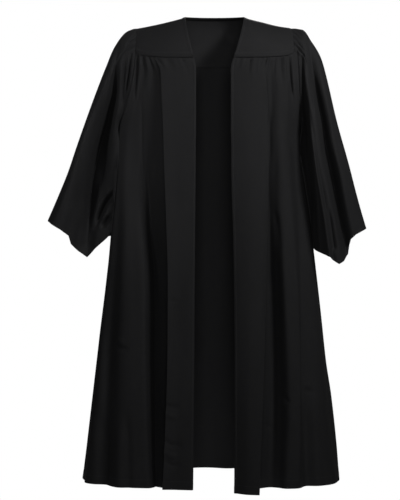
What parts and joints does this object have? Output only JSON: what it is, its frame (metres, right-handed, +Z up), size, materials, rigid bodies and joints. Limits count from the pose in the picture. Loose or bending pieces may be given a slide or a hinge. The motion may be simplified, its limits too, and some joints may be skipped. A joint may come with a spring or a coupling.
{
  "type": "choir robe",
  "caption": "Long black open-front choir robe, filled out as worn, with smooth yokes, gathered fronts and back, deep front pleats and wide bell sleeves.",
  "frame": {"origin": "midway between the high points of the two shoulders, where the wearer's shoulders carry the robe", "axes": "+Z up, -Y towards the robe's front, +X towards the wearer's left"},
  "size_m": [0.951, 0.4559, 1.4071],
  "materials": {
    "yoke": "matt plain weave, pressed smooth",
    "gown_cloth": "matt plain weave, soft sheen on the folds",
    "edge_band": "pressed turned edge"
  },
  "bodies": {
    "root": {"yoke_back": "yoke", "yoke_front_right": "yoke", "yoke_front_left": "yoke", "front_right": "gown_cloth", "front_left": "gown_cloth", "back": "gown_cloth", "sleeve_right": "gown_cloth", "sleeve_left": "gown_cloth", "neck_band": "edge_band", "edge_band_right": "edge_band", "edge_band_left": "edge_band"}
  },
  "joints": []
}
